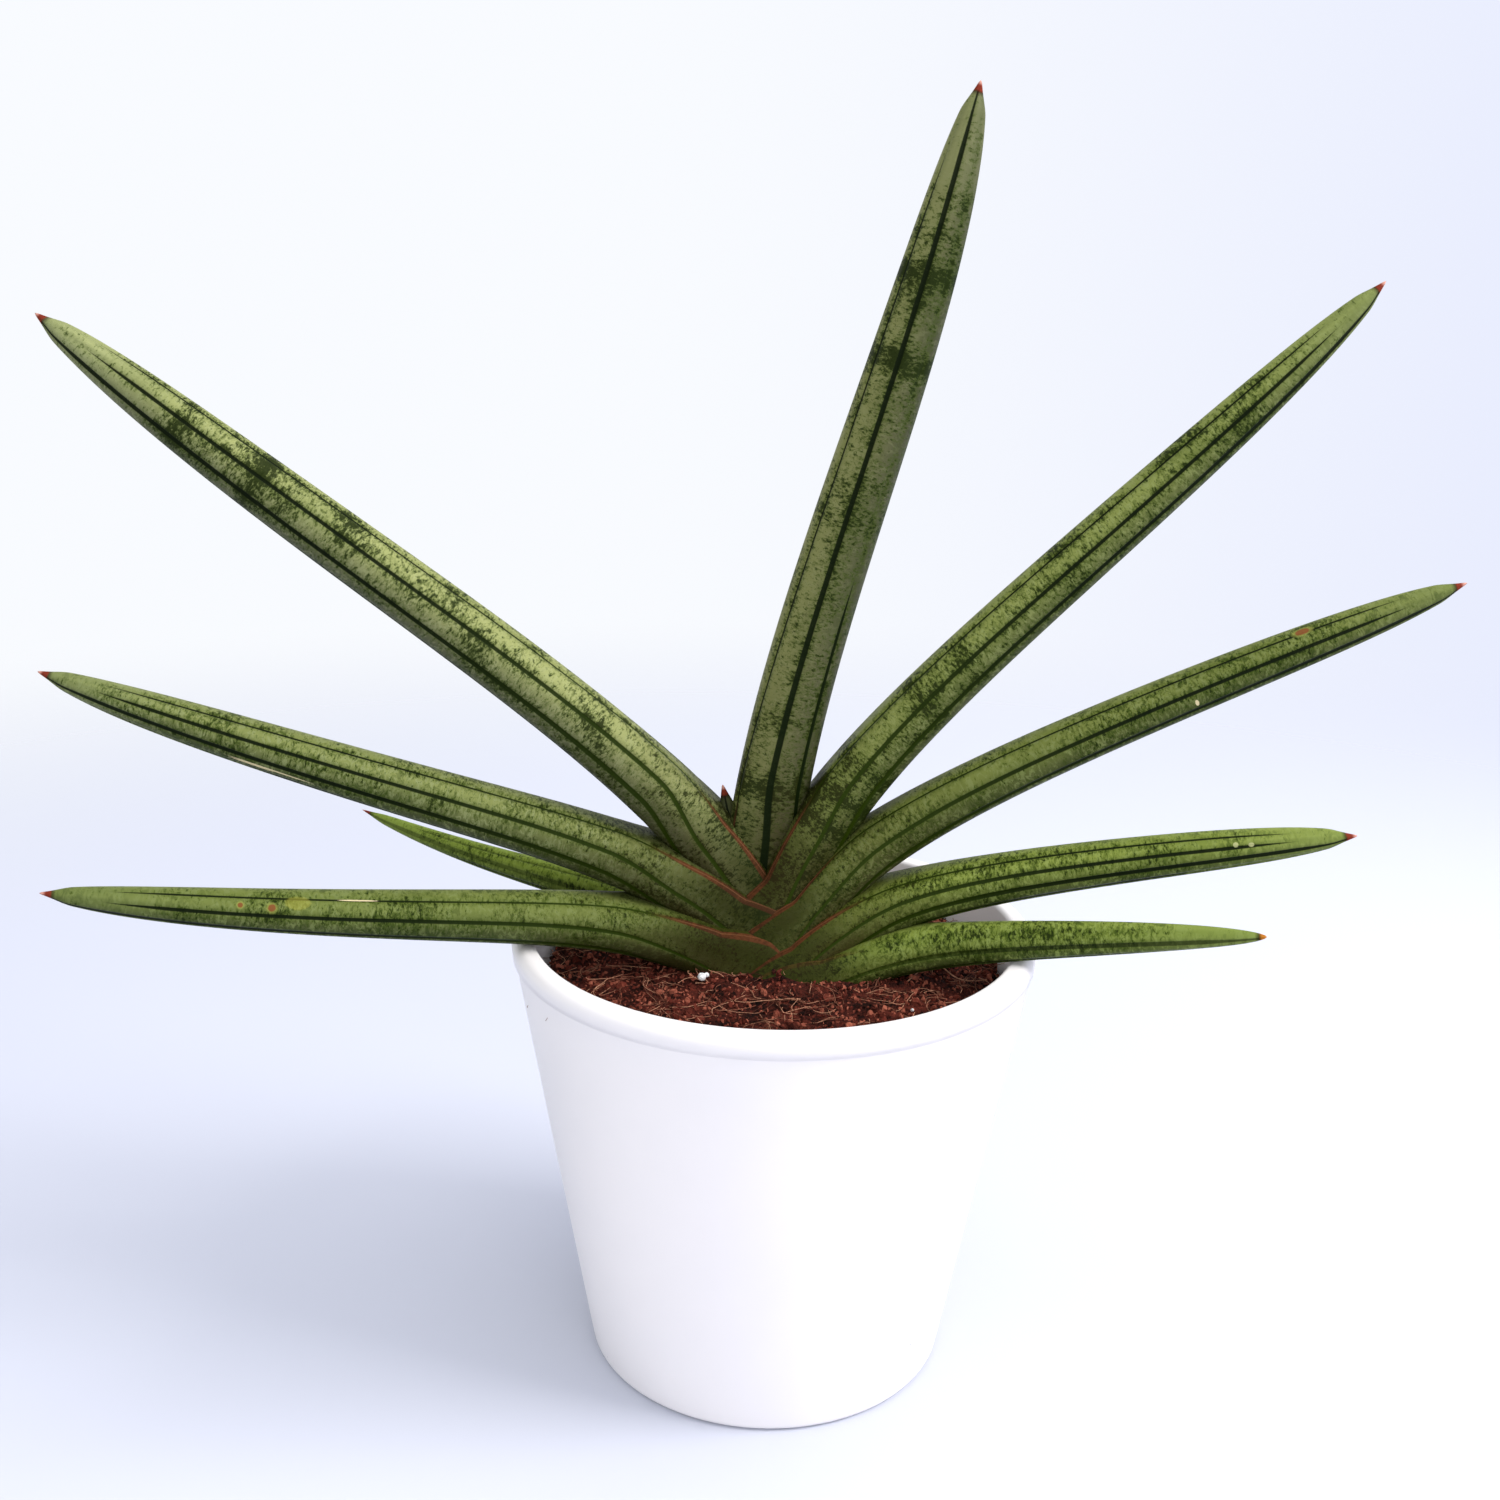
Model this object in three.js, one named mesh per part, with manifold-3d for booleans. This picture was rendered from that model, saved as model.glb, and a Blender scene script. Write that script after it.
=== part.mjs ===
// A potted cylindrical snake plant: a fan of tapering leaves on a short rhizome,
// growing in coir potting mix in a tapered white pot. Millimetres, +Z up. The origin is on the
// pot's axis at its underside, +X runs along the fan and -Y is the side that the fan shows to a viewer.
import * as THREE from "three";
import { mergeVertices } from "three/addons/utils/BufferGeometryUtils.js";
import Module from "manifold-3d";

const wasm = await Module();
wasm.setup();

// Pot
const POT_HEIGHT = 131.3;
const POT_BASE_RADIUS = 53.1;
const POT_BODY_RADIUS = 74;
const POT_RIM_RADIUS = 75;
const POT_MOUTH_RADIUS = 68.8;
const POT_FLOOR = 5;
const RIM_BAND = 6;
const BAND_STEP = 0.8;
const BAND_DRAFT = 0.2;
const RIM_OUTER_ROUND = 3;
const RIM_INNER_ROUND = 1.5;
const BASE_ROUND = 2.5;
const FLOOR_ROUND = 5;
const POT_SEGMENTS = 48;
const WALL_SLOPE = (POT_BODY_RADIUS - POT_BASE_RADIUS) / (POT_HEIGHT - RIM_BAND);

// Potting mix
const MIX_EDGE_HEIGHT = 119.8;
const MIX_CROWN_HEIGHT = 125.3;
const MIX_EDGE_RADIUS = 64.5;
const MIX_SLOPE_RADIUS = 38.7;
const MIX_CROWN_RADIUS = 19.4;
const MIX_SHOULDER = 2.5;
const MIX_FREE_DEPTH = 10;
const MIX_SEGMENTS = 40;

// Plant
const LEAF_BASE_HEIGHT = 105.3;
const LEAF_SIDES = 12;
const LEAF_ROWS = 17;
const TIP_TAPER = 0.12;
const TIP_POWER = 0.6;
const SHEATH_REACH = 25;
const SHEATH_INNER_SHARE = 0.9;
const RHIZOME_TOP_RADIUS = 15;
const RHIZOME_FOOT_RADIUS = 9;
const RHIZOME_LENGTH = 20;
const RHIZOME_RINGS = 3;
const RHIZOME_RING_DEPTH = 1.2;
const RHIZOME_SEGMENTS = 16;
const ROOT_COUNT = 6;
const ROOT_HEIGHT = 96.3;
const ROOT_FIRST_HEADING = 25;
const ROOT_LEAN = 100;
const ROOT_LEAN_STEP = 6;
const ROOT_END_LEAN = 150;
const ROOT_LENGTH = 62;
const ROOT_LENGTH_STEP = 5;
const ROOT_SIDES = 6;
const ROOT_ROWS = 9;
const SPINE_STEP = 1.5;

const CLEARANCE = 0.3;

// Each leaf rises from the crown and bends outwards in one upright plane. Angles are in degrees.
//   foot       where it starts, in X and Y, on the top of the rhizome
//   heading    the way it leans, seen from above, anticlockwise from +X
//   lean       its angle from upright: [at the foot, once it has bent out]
//   bend       the length over which it bends out
//   droop      how much further it leans by its tip
//   thickness  across the leaf where it leaves the crown
//   swell      how much it thickens from tip to foot, as a share
//   sheath     half the front-to-back depth of the foot that clasps the leaves inside it
// The list runs from the innermost leaf to the outermost.
const LEAVES = [
  {
    name: "leaf_spike", foot: [-3, -1], heading: 180, lean: [4, 16], bend: 30, droop: -2,
    length: 69, thickness: 8.5, swell: 0.3, sheath: 4.5,
  },
  {
    name: "leaf_centre", foot: [-1, -2], heading: -2, lean: [-13.5, 43.5], bend: 90, droop: -28.5,
    length: 259.5, thickness: 22, swell: 0.36, sheath: 10.5,
  },
  {
    name: "leaf_left_1", foot: [-3, -2], heading: 182, lean: [-15, 60], bend: 42.5, droop: -9,
    length: 280, thickness: 20, swell: 0.26, sheath: 12,
  },
  {
    name: "leaf_right_1", foot: [1, -2], heading: -2, lean: [-16.5, 60], bend: 55, droop: -17,
    length: 264.5, thickness: 19.5, swell: 0.53, sheath: 13.5,
  },
  {
    name: "leaf_left_2", foot: [-5, -2], heading: 184, lean: [-25, 79.5], bend: 28, droop: -10.5,
    length: 231.5, thickness: 19.5, swell: 0.6, sheath: 15,
  },
  {
    name: "leaf_right_2", foot: [3, -3], heading: -4, lean: [-22.5, 62], bend: 31.5, droop: 4,
    length: 233, thickness: 17.5, swell: 0.55, sheath: 16.5,
  },
  {
    name: "leaf_left_3", foot: [-8, -4], heading: 194, lean: [-8.5, 92.5], bend: 23.5, droop: -13.5,
    length: 203, thickness: 17.5, swell: 0.67, sheath: 17.5,
  },
  {
    name: "leaf_right_3", foot: [6, -4], heading: -8, lean: [-17.5, 77], bend: 24, droop: 3.5,
    length: 175.5, thickness: 17, swell: 0.56, sheath: 18.5,
  },
  {
    name: "leaf_left_4", foot: [-7, 3], heading: 165, lean: [2.5, 102], bend: 25, droop: -30.5,
    length: 137.5, thickness: 15, swell: 2.2, sheath: 17.5,
  },
  {
    name: "leaf_right_4", foot: [8.5, -7], heading: -16, lean: [-2, 79.5], bend: 17, droop: 3,
    length: 138, thickness: 15.5, swell: 1.2, sheath: 19,
  },
];

// What all the roots share; their headings, leans and lengths are spread about the rhizome.
const ROOT = { foot: [0, -2], bend: 30, droop: -8, thickness: 4, swell: 0.6, sheath: 2.5 };

const potMaterial = new THREE.MeshStandardMaterial({ color: 0xf1f1f3, roughness: 0.35, metalness: 0 });
const mixMaterial = new THREE.MeshStandardMaterial({ color: 0x5a3222, roughness: 1, metalness: 0 });
const leafMaterial = new THREE.MeshStandardMaterial({ color: 0x5f7a35, roughness: 0.5, metalness: 0 });
const rhizomeMaterial = new THREE.MeshStandardMaterial({ color: 0xb07a48, roughness: 0.8, metalness: 0 });

function arc(centreX, centreY, radius, fromDegrees, toDegrees, steps) {
  const points = [];
  for (let i = 0; i <= steps; i += 1) {
    const angle = THREE.MathUtils.degToRad(THREE.MathUtils.lerp(fromDegrees, toDegrees, i / steps));
    points.push(new THREE.Vector2(centreX + radius * Math.cos(angle), centreY + radius * Math.sin(angle)));
  }
  return points;
}

// Turns an outline of (radius, height) points about the Z axis.
function turned(outline, segments) {
  return new THREE.LatheGeometry(outline, segments).rotateX(Math.PI / 2);
}

function toManifold(geometry) {
  const bare = geometry.clone();
  bare.deleteAttribute("normal");
  bare.deleteAttribute("uv");
  const merged = mergeVertices(bare, 1e-4);
  return new wasm.Manifold(
    new wasm.Mesh({
      numProp: 3,
      vertProperties: new Float32Array(merged.attributes.position.array),
      triVerts: new Uint32Array(merged.index.array),
    }),
  );
}

function toGeometry(manifold) {
  const mesh = manifold.getMesh();
  const geometry = new THREE.BufferGeometry();
  geometry.setAttribute("position", new THREE.BufferAttribute(new Float32Array(mesh.vertProperties), 3));
  geometry.setIndex(new THREE.BufferAttribute(new Uint32Array(mesh.triVerts), 1));
  geometry.computeVertexNormals();
  return geometry;
}

function largestPiece(manifold) {
  const pieces = manifold.decompose();
  return pieces.reduce((best, piece) => (piece.volume() > best.volume() ? piece : best));
}

function innerWallRadius(height) {
  return POT_MOUTH_RADIUS - (POT_HEIGHT - RIM_INNER_ROUND - height) * WALL_SLOPE;
}

function potOutline() {
  const bandFoot = POT_HEIGHT - RIM_BAND;
  const floorCentre = POT_FLOOR + FLOOR_ROUND;
  return [
    new THREE.Vector2(0, 0),
    ...arc(POT_BASE_RADIUS - BASE_ROUND, BASE_ROUND, BASE_ROUND, -90, -10, 4),
    new THREE.Vector2(POT_BODY_RADIUS, bandFoot),
    new THREE.Vector2(POT_RIM_RADIUS - BAND_DRAFT, bandFoot + BAND_STEP),
    ...arc(POT_RIM_RADIUS - RIM_OUTER_ROUND, POT_HEIGHT - RIM_OUTER_ROUND, RIM_OUTER_ROUND, 0, 90, 4),
    ...arc(
      POT_MOUTH_RADIUS + RIM_INNER_ROUND, POT_HEIGHT - RIM_INNER_ROUND, RIM_INNER_ROUND, 90, 180, 3,
    ),
    ...arc(innerWallRadius(floorCentre) - FLOOR_ROUND, floorCentre, FLOOR_ROUND, -5, -90, 3),
    new THREE.Vector2(0, POT_FLOOR),
  ];
}

// The mix fills the pot, shrinks away from the wall at the top and rises a little towards the crown.
function mixOutline() {
  const foot = POT_FLOOR + CLEARANCE;
  const shoulder = MIX_EDGE_HEIGHT - MIX_SHOULDER;
  const wallTop = MIX_EDGE_HEIGHT - MIX_FREE_DEPTH;
  const floorCentre = POT_FLOOR + FLOOR_ROUND;
  return [
    new THREE.Vector2(0, foot),
    ...arc(innerWallRadius(floorCentre) - FLOOR_ROUND, floorCentre, FLOOR_ROUND - CLEARANCE, -90, -5, 3),
    new THREE.Vector2(innerWallRadius(wallTop) - CLEARANCE, wallTop),
    ...arc(MIX_EDGE_RADIUS - MIX_SHOULDER, shoulder, MIX_SHOULDER, 0, 90, 2),
    new THREE.Vector2(MIX_SLOPE_RADIUS, (MIX_EDGE_HEIGHT + MIX_CROWN_HEIGHT) / 2),
    new THREE.Vector2(MIX_CROWN_RADIUS, MIX_CROWN_HEIGHT),
    new THREE.Vector2(0, MIX_CROWN_HEIGHT),
  ];
}

function leanAt(stem, distance) {
  const [footLean, outLean] = stem.lean;
  const bentOut = outLean + (footLean - outLean) * Math.exp(-distance / stem.bend);
  return THREE.MathUtils.degToRad(bentOut + (stem.droop * distance) / stem.length);
}

// The point and the two cross directions of a stem at a distance along it.
function spineAt(stem, distance, footHeight) {
  const heading = THREE.MathUtils.degToRad(stem.heading);
  const outward = new THREE.Vector3(Math.cos(heading), Math.sin(heading), 0);
  const up = new THREE.Vector3(0, 0, 1);
  const point = new THREE.Vector3(stem.foot[0], stem.foot[1], footHeight);
  const steps = Math.max(1, Math.ceil(Math.abs(distance) / SPINE_STEP));
  for (let i = 0; i < steps; i += 1) {
    const lean = leanAt(stem, (distance * (i + 0.5)) / steps);
    point.addScaledVector(outward, (Math.sin(lean) * distance) / steps);
    point.addScaledVector(up, (Math.cos(lean) * distance) / steps);
  }
  const lean = leanAt(stem, distance);
  const inward = outward.clone().multiplyScalar(-Math.cos(lean)).addScaledVector(up, Math.sin(lean));
  const along = outward.clone().multiplyScalar(Math.sin(lean)).addScaledVector(up, Math.cos(lean));
  return { point, inward, across: inward.clone().cross(along) };
}

function halfThickness(stem, distance) {
  const share = THREE.MathUtils.clamp(1 - distance / stem.length, 0, 1);
  const taper = (1 - Math.exp(-share / TIP_TAPER)) ** TIP_POWER;
  return (stem.thickness / 2) * taper * ((1 + stem.swell * share) / (1 + stem.swell));
}

function sheathHold(distance) {
  return Math.exp(-((distance / SHEATH_REACH) ** 2));
}

// A turned, tapering rod, bent along the stem's spine. Its inner and side faces widen into the sheath.
function stemGeometry(stem, footHeight, sides, rows, clearance) {
  const from = -clearance;
  const to = stem.length + clearance;
  const distances = [];
  for (let row = 0; row < rows; row += 1) {
    distances.push(THREE.MathUtils.lerp(from, to, (1 - Math.cos((Math.PI * row) / (rows - 1))) / 2));
  }
  const outline = distances.map((distance, row) => new THREE.Vector2(row === rows - 1 ? 0 : 1, distance));
  outline.unshift(new THREE.Vector2(0, from));
  const geometry = new THREE.LatheGeometry(outline, sides);
  const position = geometry.attributes.position;
  for (let i = 0; i < position.count; i += 1) {
    const distance = position.getY(i);
    const spine = spineAt(stem, distance, footHeight);
    const half = halfThickness(stem, distance);
    const hold = sheathHold(distance);
    const depth = half + (stem.sheath - half) * hold + clearance;
    const inner = half + (stem.sheath * SHEATH_INNER_SHARE - half) * hold + clearance;
    const towardsAxis = position.getX(i);
    const reach = towardsAxis > 0 ? inner : half + clearance;
    const point = spine.point
      .addScaledVector(spine.inward, towardsAxis * reach)
      .addScaledVector(spine.across, position.getZ(i) * depth);
    position.setXYZ(i, point.x, point.y, point.z);
  }
  return geometry;
}

function leafManifold(leaf, clearance) {
  return toManifold(stemGeometry(leaf, LEAF_BASE_HEIGHT, LEAF_SIDES, LEAF_ROWS, clearance));
}

// A short ringed stem under the leaves, with fleshy roots running down and out from it.
function rhizomeManifold(clearance) {
  const foot = LEAF_BASE_HEIGHT - RHIZOME_LENGTH;
  const outline = [new THREE.Vector2(0, foot - clearance)];
  const steps = RHIZOME_RINGS * 2;
  for (let i = 0; i <= steps; i += 1) {
    const share = i / steps;
    const groove = i % 2 === 1 ? RHIZOME_RING_DEPTH : 0;
    const flare = THREE.MathUtils.lerp(RHIZOME_FOOT_RADIUS, RHIZOME_TOP_RADIUS, Math.sqrt(share));
    const radius = flare - groove + clearance;
    const height = THREE.MathUtils.lerp(foot - clearance, LEAF_BASE_HEIGHT + clearance, share);
    outline.push(new THREE.Vector2(radius, height));
  }
  outline.push(new THREE.Vector2(0, LEAF_BASE_HEIGHT + clearance));
  let body = toManifold(turned(outline, RHIZOME_SEGMENTS));
  for (let i = 0; i < ROOT_COUNT; i += 1) {
    const root = {
      ...ROOT,
      heading: ROOT_FIRST_HEADING + (360 / ROOT_COUNT) * i,
      lean: [ROOT_LEAN + ROOT_LEAN_STEP * (i % 3), ROOT_END_LEAN],
      length: ROOT_LENGTH + ROOT_LENGTH_STEP * (i % 2),
    };
    body = body.add(toManifold(stemGeometry(root, ROOT_HEIGHT, ROOT_SIDES, ROOT_ROWS, clearance)));
  }
  return body;
}

const group = new THREE.Group();

function addNode(name, geometry, material) {
  const mesh = new THREE.Mesh(geometry, material.clone());
  mesh.name = name;
  group.add(mesh);
}

addNode("pot", turned(potOutline(), POT_SEGMENTS), potMaterial);
addNode("rhizome", toGeometry(rhizomeManifold(0)), rhizomeMaterial);

let taken = rhizomeManifold(CLEARANCE);
for (const leaf of LEAVES) {
  addNode(leaf.name, toGeometry(largestPiece(leafManifold(leaf, 0).subtract(taken))), leafMaterial);
  taken = taken.add(leafManifold(leaf, CLEARANCE));
}
const mix = toManifold(turned(mixOutline(), MIX_SEGMENTS)).subtract(taken);
addNode("potting_mix", toGeometry(largestPiece(mix)), mixMaterial);

export default group;
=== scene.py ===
"""A potted cylindrical snake plant: a flat fan of ten mottled leaves, in coir mix, in a white pot.

Metres, +Z up. The origin is on the pot's axis at its underside, +X runs along the fan of leaves and -Y
is the side that the fan shows to a viewer.
"""

import math
from dataclasses import dataclass

import bmesh
import bpy
import numpy as np
from mathutils import Matrix, Vector


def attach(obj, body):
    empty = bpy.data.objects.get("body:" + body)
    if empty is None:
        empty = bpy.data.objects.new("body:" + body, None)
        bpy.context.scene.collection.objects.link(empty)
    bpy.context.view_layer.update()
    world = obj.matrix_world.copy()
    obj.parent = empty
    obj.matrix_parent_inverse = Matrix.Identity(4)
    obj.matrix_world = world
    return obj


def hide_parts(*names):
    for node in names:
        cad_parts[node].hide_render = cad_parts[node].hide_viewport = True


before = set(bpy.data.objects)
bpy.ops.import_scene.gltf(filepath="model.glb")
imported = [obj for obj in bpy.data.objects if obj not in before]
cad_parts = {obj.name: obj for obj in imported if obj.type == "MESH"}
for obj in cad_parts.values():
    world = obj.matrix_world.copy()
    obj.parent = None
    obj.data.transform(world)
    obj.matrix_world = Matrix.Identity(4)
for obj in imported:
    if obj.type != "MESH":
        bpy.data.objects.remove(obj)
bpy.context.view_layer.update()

MM = 0.001

# ---- Colours, as a paint chart gives them, and small number helpers ----


def paint(red, green, blue):
    """A chart colour, 0 to 255, as the linear colour that a shader takes."""
    chart = np.array([red, green, blue]) / 255
    linear = np.where(chart <= 0.04045, chart / 12.92, ((chart + 0.055) / 1.055) ** 2.4)
    return (*[float(value) for value in linear], 1.0)


def smooth(value, start, end):
    """Rises from 0 at start to 1 at end with flat ends; works on arrays."""
    share = np.clip((value - start) / (end - start), 0, 1)
    return share * share * (3 - 2 * share)


def bell(distance, width):
    """1 at no distance, falling away on both sides over the width."""
    return np.exp(-((distance / width) ** 2))


# ---- Node trees ----


class Value:
    """An output socket that can be used in sums: each operation adds a Math node to its tree."""

    def __init__(self, maker, socket):
        self.maker = maker
        self.socket = socket

    def __add__(self, other):
        return self.maker.math("ADD", self, other)

    def __sub__(self, other):
        return self.maker.math("SUBTRACT", self, other)

    def __rsub__(self, other):
        return self.maker.math("SUBTRACT", other, self)

    def __mul__(self, other):
        return self.maker.math("MULTIPLY", self, other)

    def __truediv__(self, other):
        return self.maker.math("DIVIDE", self, other)

    def __abs__(self):
        return self.maker.math("ABSOLUTE", self)

    __radd__ = __add__
    __rmul__ = __mul__


class Maker:
    """Builds one node tree, for a material or for a modifier."""

    def __init__(self, tree):
        self.tree = tree

    def node(self, kind, settings=None, inputs=None):
        """Adds a node: its settings first, then a number, a colour or a link for each named input."""
        made = self.tree.nodes.new(kind)
        for name, setting in (settings or {}).items():
            setattr(made, name, setting)
        for name, value in (inputs or {}).items():
            if isinstance(value, Value):
                self.tree.links.new(value.socket, made.inputs[name])
            else:
                made.inputs[name].default_value = value
        return made

    def out(self, kind, settings=None, inputs=None, output=0):
        return Value(self, self.node(kind, settings, inputs).outputs[output])

    def math(self, operation, *values):
        return self.out("ShaderNodeMath", {"operation": operation}, dict(enumerate(values)))

    def largest(self, *values):
        return self.math("MAXIMUM", *values)

    def stretch(self, vector, scale):
        return self.out("ShaderNodeVectorMath", {"operation": "MULTIPLY"}, {0: vector, 1: scale})

    def noise(self, vector, scale=1.0, detail=2.0, roughness=0.5, distortion=0.0):
        inputs = {
            "Vector": vector, "Scale": scale, "Detail": detail, "Roughness": roughness,
            "Distortion": distortion,
        }
        return self.out("ShaderNodeTexNoise", {"noise_dimensions": "3D"}, inputs)

    def step(self, value, start, end, low=0.0, high=1.0):
        """Rises smoothly from low, where the value is start, to high, where it is end."""
        inputs = {0: value, 1: start, 2: end, 3: low, 4: high}
        return self.out("ShaderNodeMapRange", {"interpolation_type": "SMOOTHSTEP"}, inputs)

    def blend(self, share, first, second):
        """The first colour where share is 0 and the second where it is 1."""
        settings = {"data_type": "RGBA", "clamp_factor": True}
        return self.out("ShaderNodeMix", settings, {0: share, 6: first, 7: second}, output=2)

    def bump(self, height, distance, strength=1.0):
        inputs = {"Strength": strength, "Distance": distance, "Height": height}
        return self.out("ShaderNodeBump", None, inputs)


def object_place(maker):
    return maker.out("ShaderNodeTexCoord", None, None, "Object")


def material(name):
    """A new material and the maker of its emptied tree."""
    made = bpy.data.materials.new(name)
    made.use_nodes = True
    made.node_tree.nodes.clear()
    return made, Maker(made.node_tree)


def surface(maker, **inputs):
    """Ends a material in one Principled surface; input names are written with underscores for spaces."""
    named = {name.replace("_", " "): value for name, value in inputs.items()}
    shader = maker.out("ShaderNodeBsdfPrincipled", None, named, output="BSDF")
    maker.node("ShaderNodeOutputMaterial", None, {"Surface": shader})


# ---- Meshes ----


def add_piece(name, mesh, node_material, replaced=()):
    """Puts a finished mesh in the scene as a piece of the object."""
    piece = bpy.data.objects.new(name, mesh)
    bpy.context.scene.collection.objects.link(piece)
    mesh.materials.clear()
    mesh.materials.append(node_material)
    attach(piece, "root")
    if replaced:
        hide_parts(*replaced)
    return piece


def ring_mesh(name, rings, poles=(None, None)):
    """A closed skin through rings of points, all of one count, with a pole point beyond each end."""
    rows, columns, _ = rings.shape
    points = [*rings.reshape(-1, 3)]
    faces = []
    for row in range(rows - 1):
        for column in range(columns):
            across = (column + 1) % columns
            low, high = row * columns, (row + 1) * columns
            faces.append((low + column, low + across, high + across, high + column))
    for pole, row in ((poles[0], 0), (poles[1], rows - 1)):
        if pole is None:
            continue
        points.append(np.array(pole))
        centre = len(points) - 1
        for column in range(columns):
            edge = (row * columns + (column + 1) % columns, row * columns + column)
            faces.append((*(edge if row == 0 else edge[::-1]), centre))
    mesh = bpy.data.meshes.new(name)
    mesh.from_pydata([tuple(map(float, point)) for point in points], [], faces)
    mesh.shade_smooth()
    return mesh


def point_values(mesh, name, values, kind="FLOAT"):
    """Stores a number or a vector at each point of a mesh."""
    attribute = mesh.attributes.new(name, kind, "POINT")
    field = "vector" if kind == "FLOAT_VECTOR" else "value"
    attribute.data.foreach_set(field, np.ravel(values).astype(np.float32))


def face_outwards(mesh):
    """Turns a closed skin's faces so that it holds a positive volume."""
    points = np.empty(3 * len(mesh.vertices), np.float32)
    mesh.vertices.foreach_get("co", points)
    mesh.calc_loop_triangles()
    corners = np.empty(3 * len(mesh.loop_triangles), np.int32)
    mesh.loop_triangles.foreach_get("vertices", corners)
    first, second, third = points.reshape(-1, 3)[corners.reshape(-1, 3)].transpose(1, 0, 2)
    if np.einsum("ij,ij->", first, np.cross(second, third)) < 0:
        mesh.flip_normals()


# ---- Camera, floor and light ----

CAMERA_AIM = Vector((-0.0078, 0.0, 0.1831))
CAMERA_DISTANCE = 0.46
CAMERA_ELEVATION = math.radians(16.08)
CAMERA_ROLL = math.radians(1.07)
CAMERA_LENS = 39.47
SENSOR_WIDTH = 36.0

AIR_LEFT = (0.945, 0.965, 1.0, 1.0)
AIR_RIGHT = (0.76, 0.8, 0.99, 1.0)
FLOOR_RADIUS = 3.0
FLOOR_SIDES = 96
FLOOR_TONE = (0.56, 0.58, 0.66, 1.0)
FLOOR_FADE = (0.35, 1.1)  # the distances between which the floor fades into the room
LIGHT_AIM = (0, 0, 0.1)
LIGHTS = [  # name, place, size, watts, colour
    ("key", (1.15, -0.32, 1.1), 0.7, 22, (1.0, 0.97, 0.93)),
    ("overhead", (0.25, -0.1, 1.5), 1.0, 7, (1.0, 0.98, 0.96)),
    ("front", (0.5, -1.6, 0.7), 1.0, 8, (1.0, 0.98, 0.96)),
]


def make_camera():
    back = Vector((0, -math.cos(CAMERA_ELEVATION), math.sin(CAMERA_ELEVATION)))
    level = Vector((1, 0, 0))
    above = back.cross(level)
    right = math.cos(CAMERA_ROLL) * level + math.sin(CAMERA_ROLL) * above
    up = math.cos(CAMERA_ROLL) * above - math.sin(CAMERA_ROLL) * level
    data = bpy.data.cameras.new("camera")
    data.sensor_width = SENSOR_WIDTH
    data.lens = CAMERA_LENS
    camera = bpy.data.objects.new("camera", data)
    camera.matrix_world = Matrix((right, up, back)).transposed().to_4x4()
    camera.location = CAMERA_AIM + back * CAMERA_DISTANCE
    bpy.context.scene.collection.objects.link(camera)
    bpy.context.scene.camera = camera


def add_light(name, place, size, watts, colour):
    """A square soft light."""
    data = bpy.data.lights.new(name, "AREA")
    data.size = size
    data.energy = watts
    data.color = colour
    lamp = bpy.data.objects.new(name, data)
    lamp.location = place
    lamp.rotation_euler = (Vector(LIGHT_AIM) - Vector(place)).to_track_quat("-Z", "Y").to_euler()
    bpy.context.scene.collection.objects.link(lamp)


def make_studio():
    """A pale room with no corners, a floor that fades into it, and soft light from the upper right."""
    world = bpy.data.worlds.new("pale_room")
    world.use_nodes = True
    world.node_tree.nodes.clear()
    maker = Maker(world.node_tree)
    towards = maker.out("ShaderNodeTexCoord", None, None, "Generated")
    parts = maker.node("ShaderNodeSeparateXYZ", None, {0: towards})
    to_the_right = maker.step(Value(maker, parts.outputs["X"]), -0.1, 0.7)
    tint = maker.blend(to_the_right, AIR_LEFT, AIR_RIGHT)
    air = maker.out("ShaderNodeBackground", None, {"Color": tint, "Strength": 1.0})
    maker.node("ShaderNodeOutputWorld", None, {"Surface": air})
    bpy.context.scene.world = world
    bpy.context.scene.view_settings.view_transform = "Standard"

    mesh = bpy.data.meshes.new("floor")
    turns = np.linspace(0, 2 * math.pi, FLOOR_SIDES, endpoint=False)
    edge = [(FLOOR_RADIUS * math.cos(turn), FLOOR_RADIUS * math.sin(turn), 0) for turn in turns]
    mesh.from_pydata(edge, [], [range(FLOOR_SIDES)])
    floor_material, maker = material("pale_floor")
    place = object_place(maker)
    away = maker.out("ShaderNodeVectorMath", {"operation": "LENGTH"}, {0: place}, output="Value")
    matt = maker.out("ShaderNodeBsdfDiffuse", None, {"Color": FLOOR_TONE})
    clear = maker.out("ShaderNodeBsdfTransparent")
    mixed = maker.out("ShaderNodeMixShader", None, {0: maker.step(away, *FLOOR_FADE), 1: matt, 2: clear})
    maker.node("ShaderNodeOutputMaterial", None, {"Surface": mixed})
    mesh.materials.append(floor_material)
    floor = bpy.data.objects.new("floor", mesh)
    bpy.context.scene.collection.objects.link(floor)

    for light in LIGHTS:
        add_light(*light)


# ---- Leaves ----

LEAF_BASE_HEIGHT = 105.3 * MM
LEAF_COLUMNS = 120
LEAF_ROWS = 180
ROWS_CLOSER_AT_ENDS = 0.6  # 0 spaces a leaf's rows evenly, 1 crowds them into its ends
SPINE_STEP = 0.5 * MM
TIP_TAPER = 0.12
TIP_POWER = 0.6
TIP_POINT = 8 * MM
TIP_FINENESS = 0.55
CLASP_REACH = 0.8  # how far up the clasping part goes, as a share of the distance where the leaf closes
CLASP_EXTRA = 6 * MM
CLASP_CORNER = math.radians(45)
CLASP_SQUARENESS = 6
SETTLE_SHARE = 0.9
ARM_SPREAD = 0.6
ARM_LIMIT = 17 * MM
GROOVE_DEPTH = 0.28 * MM
GROOVE_WIDTH = 0.75 * MM
MARGIN_RISE = 0.5 * MM
MARGIN_WIDTH = 0.8 * MM
WAVES = 5
WAVE_HEIGHT = 0.1 * MM
BAND_WIDTH = 3.2 * MM
LINE_WIDTH = 1.15 * MM
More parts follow.
